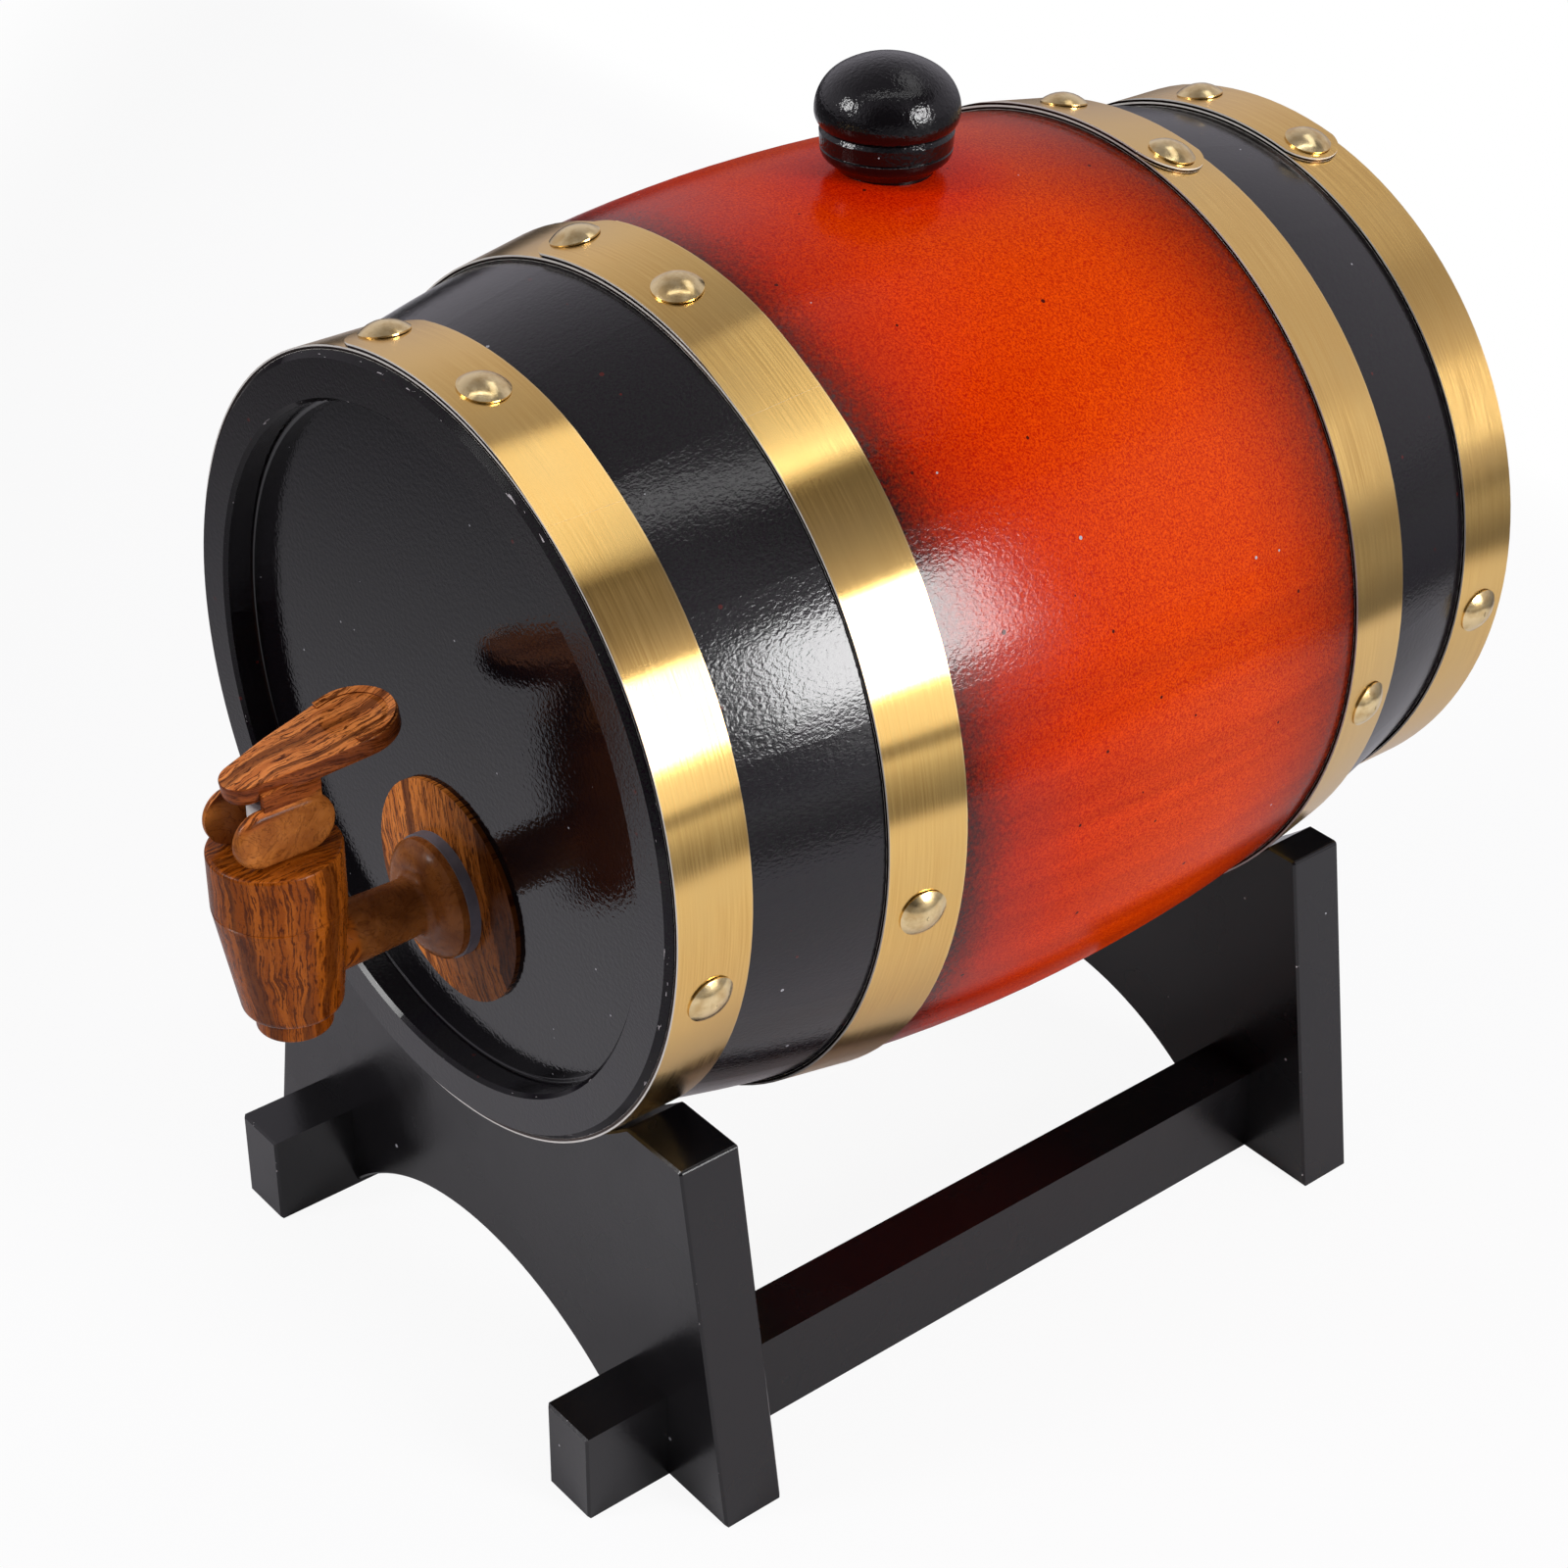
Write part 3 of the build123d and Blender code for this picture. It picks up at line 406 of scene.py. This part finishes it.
def brushed_gold(hoop):
    """Strip brushed around the cask, with a painted highlight along its front and rear edges; each
    layer's cut edge has a painted highlight above and a painted shadow below.
    """
    m = Nodes("brushed_" + hoop)
    place, split = m.position()
    across, along, radius = around_cask(m, split)
    facing = m.facing()
    height = m.math("SUBTRACT", split[2], AXIS_Z)
    front_radius, lean = strip_cone(hoop)
    outward = m.unit(m.combine(split[0], m.product(radius, lean), height))
    (_, front, _), (_, rear, _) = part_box(hoop)
    to_front = m.math("SUBTRACT", along, front - CASK_Y)
    to_rear = m.math("SUBTRACT", rear - CASK_Y, along)
    radial = m.math("ADD", m.product(facing[0], split[0]), m.product(facing[2], height))
    cut = m.smooth(m.math("DIVIDE", radial, radius), 0.75, 0.5)
    edge = m.smooth(m.math("MINIMUM", to_front, to_rear), 0.40 * MM, 0.15 * MM)
    foot = front_radius - STRIP + STRIP_START
    inside = m.math("SUBTRACT", foot, m.product(to_front, lean))
    layer = m.math("FRACT", m.math("DIVIDE", m.math("SUBTRACT", radius, inside), STRIP))
    # lip: the outer part of a layer's cut edge, which gets the painted highlight; the rest gets the
    # painted shadow
    lip = m.smooth(layer, 0.50, 0.62)
    lines = m.noise(m.combine(m.product(across, 0.02), along), scale=2300, roughness=0.6)
    tone = m.ramp(lines, (0.34, (0.79, 0.49, 0.15)), (0.66, (0.91, 0.60, 0.20)))
    tarnish = m.smooth(m.noise(place, scale=38, detail=3), 0.42, 0.68)
    aged = m.mix(tarnish, tone, (0.83, 0.55, 0.19))
    # painted highlight: the strip is lighter just inside its front and rear edges
    rim_highlighted = m.mix(m.product(edge, 0.3), aged, (0.95, 0.76, 0.44))
    shader = m.principled(
        Base_Color=m.mix(cut, rim_highlighted, m.mix(lip, CUT_FOOT_SHADOW, CUT_LIP_GLINT)),
        Metallic=m.math("SUBTRACT", 1.0, m.product(cut, lip)),
        Roughness=m.ramp(lines, (0.3, 0.15), (0.7, 0.21)),
        Anisotropic=0.95,
        Anisotropic_Rotation=0.25,
        Normal=m.bump(lines, 0.010 * MM, m.mix_vector(cut, outward, m.smooth_normal())),
    )
    tangent = m.add("Tangent", direction_type="RADIAL", axis="Y")
    m.link(tangent.outputs[0], shader.inputs["Tangent"])
    return m.material


def polished_brass():
    """Brass domes, stained darker in places."""
    m = Nodes("polished_brass")
    place, _ = m.position()
    stain = m.noise(place, scale=260, detail=4, roughness=0.6)
    m.principled(
        Base_Color=m.ramp(stain, (0.36, (0.66, 0.47, 0.21)), (0.58, (0.88, 0.70, 0.38))),
        Metallic=1.0,
        Roughness=m.ramp(m.noise(place, scale=900, detail=3), (0.35, 0.17), (0.7, 0.25)),
        Normal=m.bump(m.noise(place, scale=800), 0.012 * MM),
    )
    return m.material


# Two tones for each part of the tap. The lines and bands of its print are the same on all.
PADDLE_TONES = (0.78, 0.255, 0.060), (0.52, 0.145, 0.030)
EDGE_TONES = (0.30, 0.072, 0.014), (0.17, 0.036, 0.008)
CHEEK_TONES = (0.44, 0.145, 0.028), (0.28, 0.080, 0.014)
BARREL_TONES = (0.37, 0.092, 0.008), (0.25, 0.054, 0.003)
SHANK_TONES = (0.33, 0.110, 0.024), (0.20, 0.060, 0.013)
ROSETTE_TONES = (0.80, 0.250, 0.040), (0.56, 0.158, 0.021)
NUT_TONES = (0.30, 0.10, 0.03), (0.24, 0.075, 0.024)
WASHER_TONES = (0.15, 0.15, 0.18), (0.11, 0.11, 0.13)
VALVE_TONES = (0.80, 0.80, 0.78), (0.72, 0.72, 0.70)
GRAIN_DARK = (0.072, 0.013, 0.001)
GRAIN_BAND = (0.120, 0.029, 0.004)


def printed_grain(m, across, along, tones, band_edge=0.57):
    """Wood print: long wavy lines, short pores and now and then a broad dark band."""
    light, middle_tone = tones
    sway = m.drift(m.combine(m.product(across, 0.4), along), scale=55, reach=6 * MM)
    quiver = m.drift(
        m.combine(across, m.product(along, 0.6), 0.5), scale=520, reach=0.9 * MM, detail=3)
    over = m.math("ADD", m.math("ADD", across, sway), quiver)

    def grain(stretch, layer, scale, detail, roughness):
        return m.noise(m.combine(over, m.product(along, stretch), layer), scale, detail, roughness)

    tone = grain(stretch=0.06, layer=0.0, scale=420, detail=3, roughness=0.6)
    lines = grain(stretch=0.06, layer=0.3, scale=1700, detail=3, roughness=0.7)
    pores = grain(stretch=0.16, layer=0.6, scale=1800, detail=2, roughness=0.6)
    broad = grain(stretch=0.04, layer=0.7, scale=150, detail=2, roughness=0.45)
    ground = m.mix(m.smooth(tone, 0.38, 0.62), middle_tone, light)
    band = m.product(m.smooth(broad, band_edge, band_edge + 0.035), 0.8)
    banded = m.mix(band, ground, GRAIN_BAND)
    lined = m.mix(m.product(m.smooth(lines, 0.53, 0.57), 0.85), banded, GRAIN_DARK)
    return m.mix(m.product(m.smooth(pores, 0.59, 0.63), 0.9), lined, GRAIN_DARK)


def moulded_print(m, place, tones):
    """The print where it is smeared over deep forms: soft blotches and a few thin swirls."""
    blotch = m.noise(place, scale=110, detail=4, roughness=0.6, distortion=0.8)
    swirl = m.noise(place, scale=150, detail=3, roughness=0.55, distortion=3.0)
    vein = m.product(m.smooth(swirl, 0.485, 0.505), m.smooth(swirl, 0.545, 0.515))
    ground = m.mix(m.smooth(blotch, 0.36, 0.66), *tones)
    return m.mix(m.product(vein, 0.45), ground, GRAIN_DARK)


def tap_finish(m, colour, place, gloss=0.13):
    """Moulded plastic of that colour, with little gloss."""
    m.principled(
        Base_Color=colour,
        Roughness=m.ramp(m.noise(place, scale=500), (0.35, 0.22), (0.65, 0.32)),
        Specular_IOR_Level=gloss,
        Normal=m.bump(m.noise(place, scale=700), 0.03 * MM),
    )
    return m.material


def barrel_print():
    """Grain that runs up the barrel and over the cap's top; soft on the shank and flange."""
    m = Nodes("tap_barrel_print")
    place, split = m.position()
    depth = m.math("SUBTRACT", split[1], TAP_Y)
    turn = m.product(m.math("ARCTAN2", split[0], m.product(depth, -1.0)), AROUND_BARREL)
    side = printed_grain(m, turn, split[2], BARREL_TONES)
    top = printed_grain(m, split[0], split[1], BARREL_TONES)
    grained = m.mix(m.smooth(m.facing()[2], 0.6, 0.8), side, top)
    shank = m.smooth(split[1], BARREL_REAR - 0.5 * MM, BARREL_REAR + 1.0 * MM)
    colour = m.mix(shank, grained, moulded_print(m, place, SHANK_TONES))
    return tap_finish(m, colour, place)


def lever_print():
    """Grain along the paddle, darker around its edge; soft on the cheeks below it."""
    m = Nodes("tap_lever_print")
    place, split = m.position()
    top = printed_grain(m, split[0], split[1], PADDLE_TONES)
    around = m.math("ADD", split[0], split[1])
    side = printed_grain(m, m.product(split[2], 1.6), around, EDGE_TONES, band_edge=0.55)
    grained = m.mix(m.smooth(m.facing()[2], 0.80, 0.45), top, side)
    rise = m.product(m.math("SUBTRACT", split[1], TAP_Y), PADDLE_SLOPE)
    above = m.math("SUBTRACT", split[2], rise)
    paddle = m.smooth(above, STEM_TOP - 1.0 * MM, STEM_TOP + 1.0 * MM)
    colour = m.mix(paddle, moulded_print(m, place, CHEEK_TONES), grained)
    return tap_finish(m, colour, place)


def rosette_print():
    """Grain that runs up the plate, with painted shade darkening it towards its right."""
    m = Nodes("tap_rosette_print")
    place, split = m.position()
    lean = m.math("ADD", split[0], m.product(split[2], 0.28))
    grained = printed_grain(m, lean, split[2], ROSETTE_TONES, band_edge=0.58)
    # painted shade of the flange: the plate darkens towards its right
    dim = m.ramp(m.smooth(split[0], -16 * MM, 14 * MM), (0.0, 1.0), (1.0, 0.42))
    return tap_finish(m, m.mix(1.0, grained, dim, "MULTIPLY"), place, gloss=0.06)


def plain(name, tones, roughness):
    """Moulded rubber or plastic with faint clouding."""
    m = Nodes(name)
    place, _ = m.position()
    clouding = m.smooth(m.noise(place, scale=160, detail=3), 0.35, 0.65)
    m.principled(
        Base_Color=m.mix(clouding, *tones),
        Roughness=roughness,
        Normal=m.bump(m.noise(place, scale=900), 0.03 * MM),
    )
    return m.material


def dress(names, material):
    for name in names:
        nodes[name].data.materials.clear()
        nodes[name].data.materials.append(material)


dress(STAVES, cask_lacquer())
dress(["front_head", "rear_head"], black_lacquer())
dress(["bung"], knob_lacquer())
dress(STAND, stand_lacquer())
for hoop in HOOPS:
    dress([hoop], brushed_gold(hoop))
dress(["lap_rivets", "hoop_nails"], polished_brass())
dress(["tap_body", "tap_cap"], barrel_print())
dress(["lever"], lever_print())
dress(["tap_rosette"], rosette_print())
dress(["back_nut"], plain("nut_brown", NUT_TONES, roughness=0.45))
dress(["outer_washer", "inner_washer"], plain("grey_rubber", WASHER_TONES, roughness=0.5))
dress(["valve_stem", "seat_cup", "stem_seal"], plain("white_plastic", VALVE_TONES, roughness=0.4))


# ---------------------------------------------------------------- camera
CAMERA_FROM_CASK = Vector((426.587, -375.814, 456.710)) * MM    # from the table below its middle
AZIMUTH, ELEVATION, ROLL = 50.2546, 32.566, 0.8405
LENS, SENSOR = 70.213, 36
NEAREST = 0.01


def look_axes(azimuth, elevation, roll):
    """Unit vectors forward, right and up of a camera that looks back from that direction."""
    a, e, r = (math.radians(angle) for angle in (azimuth, elevation, roll))
    forward = Vector((-math.sin(a) * math.cos(e), math.cos(a) * math.cos(e), -math.sin(e)))
    level = Vector((math.cos(a), math.sin(a), 0))
    upright = level.cross(forward)
    right = level * math.cos(r) + upright * math.sin(r)
    up = upright * math.cos(r) - level * math.sin(r)
    return forward, right, up


def place_camera():
    camera = bpy.data.objects.new("camera", bpy.data.cameras.new("camera"))
    bpy.context.scene.collection.objects.link(camera)
    forward, right, up = look_axes(AZIMUTH, ELEVATION, ROLL)
    turn = Matrix((right, up, -forward)).transposed()
    spot = CAMERA_FROM_CASK + Vector((0, CASK_Y, 0))
    camera.matrix_world = Matrix.Translation(spot) @ turn.to_4x4()
    camera.data.lens = LENS
    camera.data.sensor_width = SENSOR
    camera.data.clip_start = NEAREST
    bpy.context.scene.camera = camera


place_camera()


# ---------------------------------------------------------------- light and floor
LAMP_DISTANCE = 1.6
LAMP_AIM = Vector((0, 0, 0.15))


def toward(azimuth, elevation):
    """Unit vector from the object out to that direction; azimuth 0 is the tap's side."""
    a, e = math.radians(azimuth), math.radians(elevation)
    return Vector((math.sin(a) * math.cos(e), -math.cos(a) * math.cos(e), math.sin(e)))


def softbox(name, azimuth, elevation, size, power):
    """Flat lamp in that direction, turned to the object."""
    light = bpy.data.lights.new(name, "AREA")
    light.shape = "RECTANGLE"
    light.size, light.size_y = size
    light.energy = power
    lamp = bpy.data.objects.new(name, light)
    bpy.context.scene.collection.objects.link(lamp)
    out = toward(azimuth, elevation)
    lamp.location = LAMP_AIM + out * LAMP_DISTANCE
    lamp.rotation_mode = "QUATERNION"
    lamp.rotation_quaternion = (-out).to_track_quat("-Z", "Y")


softbox("right_softbox", 105.5, 21, (0.58, 0.62), 20.4)
softbox("right_halo", 110, 7, (0.60, 0.50), 1.0)
softbox("left_softbox", -23, 31, (0.42, 0.42), 10)
softbox("overhead_strip", 55, 78, (1.6, 0.2), 2.3)
softbox("ceiling_panel", 168, 64, (1.16, 0.43), 1.75)


FLOOR_HALF = 6.0
FLOOR_GAP = 0.02 * MM
PAST_RIGHT, PAST_REAR = 0.11, 0.07  # a spot's reach is how far it lies past these, beside the stand
FULL_REACH = 4.0                    # reach at the end of the floor's ramp
SEEN_NEAR = 0.92                    # share of plain white that the camera sees near the object
MIRRORED_GLOW = 0.1                 # share of it in mirrored views there


def make_floor():
    """Pale table in a dimmer room, which the camera sees as white; its colour paints the room's
    uneven light on it.
    """
    m = Nodes("pale_floor")
    _, split = m.position()
    past_right = m.math("SUBTRACT", split[0], PAST_RIGHT)
    past_rear = m.math("SUBTRACT", split[1], PAST_REAR)
    reach = m.math("MAXIMUM", past_right, past_rear)
    ahead = m.product(m.math("ADD", split[0], split[1]), -1.0)
    far = m.math("MAXIMUM", m.smooth(reach, 0.30, 0.36), m.smooth(ahead, 0.45, 0.70))
    # painted light and shade: pale on the lit table near the object, dark just past its edge,
    # brighter again far out
    table = m.ramp(
        m.math("DIVIDE", reach, FULL_REACH),
        (0.080, (0.68, 0.67, 0.70)),
        (0.090, (0.15, 0.15, 0.16)),
        (0.105, (0.17, 0.17, 0.18)),
        (0.150, (0.24, 0.24, 0.25)),
        (0.300, (0.34, 0.34, 0.35)),
        (0.600, (0.80, 0.80, 0.82)),
    )
    # painted shade: the floor darkens ahead of the object
    painted_shade_ahead = m.ramp(ahead, (0.23, 1.0), (0.39, 0.72), (0.48, 0.52), (0.60, 0.40), (0.80, 0.20))
    diffuse = m.add("BsdfDiffuse")
    m.link(m.mix(1.0, table, painted_shade_ahead, "MULTIPLY"), diffuse.inputs[0])
    glow = m.add("Emission")
    m.put(glow.inputs[0], WHITE)
    path = m.add("LightPath").outputs
    whitened = m.math("ADD", m.product(far, 1.0 - SEEN_NEAR), SEEN_NEAR)
    seen = m.product(path["Is Camera Ray"], whitened)
    glossy = m.math("ADD", path["Is Glossy Ray"], path["Is Transmission Ray"], clamp=True)
    mirrored = m.product(glossy, m.math("SUBTRACT", 1.0, far), MIRRORED_GLOW)
    mixer = m.add("MixShader")
    m.link(m.math("ADD", seen, mirrored), mixer.inputs[0])
    m.link(diffuse.outputs[0], mixer.inputs[1])
    m.link(glow.outputs[0], mixer.inputs[2])
    m.link(mixer.outputs[0], m.output.inputs[0])
    mesh = bpy.data.meshes.new("floor")
    half = FLOOR_HALF
    corners = [(-half, -half, 0), (half, -half, 0), (half, half, 0), (-half, half, 0)]
    mesh.from_pydata(corners, [], [(0, 1, 2, 3)])
    floor = bpy.data.objects.new("floor", mesh)
    floor.location.z = cad_low.z - FLOOR_GAP
    mesh.materials.append(m.material)
    bpy.context.scene.collection.objects.link(floor)


# Brightness of the room by the sine of a direction's elevation: 0 is level and 1 straight up.
ROOM_LEVELS = (0.0, 0.45), (0.22, 0.60), (0.42, 0.66), (0.70, 0.50), (0.88, 0.32), (1.0, 0.26)
ROOM_TINT = (1.0, 0.955, 1.06)
# Darker spots of the room: azimuth, elevation, inner and outer angle, share of light kept.
DARK_SPOTS = (134, 50, 8, 24, 0.34), (140, 55, 3, 9, 0.25), (50, 12, 18, 52, 0.12)


def make_world():
    """White to the camera; a room that is brightest low down for the light on the object."""
    world = bpy.data.worlds.new("studio")
    world.use_nodes = True
    tree = world.node_tree
    tree.nodes.clear()

    def add(kind):
        return tree.nodes.new("ShaderNode" + kind)

    def link(source, target):
        tree.links.new(source, target)

    direction = add("TexCoord").outputs["Generated"]

    def dark_spot(azimuth, elevation, inner, outer, kept):
        """That share within the inner angle of a direction, and one outside the outer angle."""
        nearness = add("VectorMath")
        nearness.operation = "DOT_PRODUCT"
        nearness.inputs[1].default_value = toward(azimuth, elevation)
        shade = add("MapRange")
        shade.interpolation_type = "SMOOTHSTEP"
        shade.inputs[1].default_value = math.cos(math.radians(outer))
        shade.inputs[2].default_value = math.cos(math.radians(inner))
        shade.inputs[3].default_value, shade.inputs[4].default_value = 1.0, kept
        link(direction, nearness.inputs[0])
        link(nearness.outputs["Value"], shade.inputs[0])
        return shade.outputs[0]

    dim, white, mixer = add("Background"), add("Background"), add("MixShader")
    strength, *others = (dark_spot(*spot) for spot in DARK_SPOTS)
    for other in others:
        both = add("Math")
        both.operation = "MULTIPLY"
        link(strength, both.inputs[0])
        link(other, both.inputs[1])
        strength = both.outputs[0]
    link(strength, dim.inputs[1])

    split, room = add("SeparateXYZ"), add("ValToRGB")
    elements = room.color_ramp.elements
    while len(elements) < len(ROOM_LEVELS):
        elements.new(0.5)
    for element, (position, level) in zip(elements, ROOM_LEVELS):
        element.position = position
        element.color = (*(level * share for share in ROOM_TINT), 1.0)
    link(direction, split.inputs[0])
    link(split.outputs[2], room.inputs[0])
    link(room.outputs[0], dim.inputs[0])

    white.inputs[0].default_value = (*WHITE, 1.0)
    link(add("LightPath").outputs["Is Camera Ray"], mixer.inputs[0])
    link(dim.outputs[0], mixer.inputs[1])
    link(white.outputs[0], mixer.inputs[2])
    link(mixer.outputs[0], add("OutputWorld").inputs[0])
    bpy.context.scene.world = world


make_floor()
make_world()
bpy.context.scene.view_settings.view_transform = "Standard"
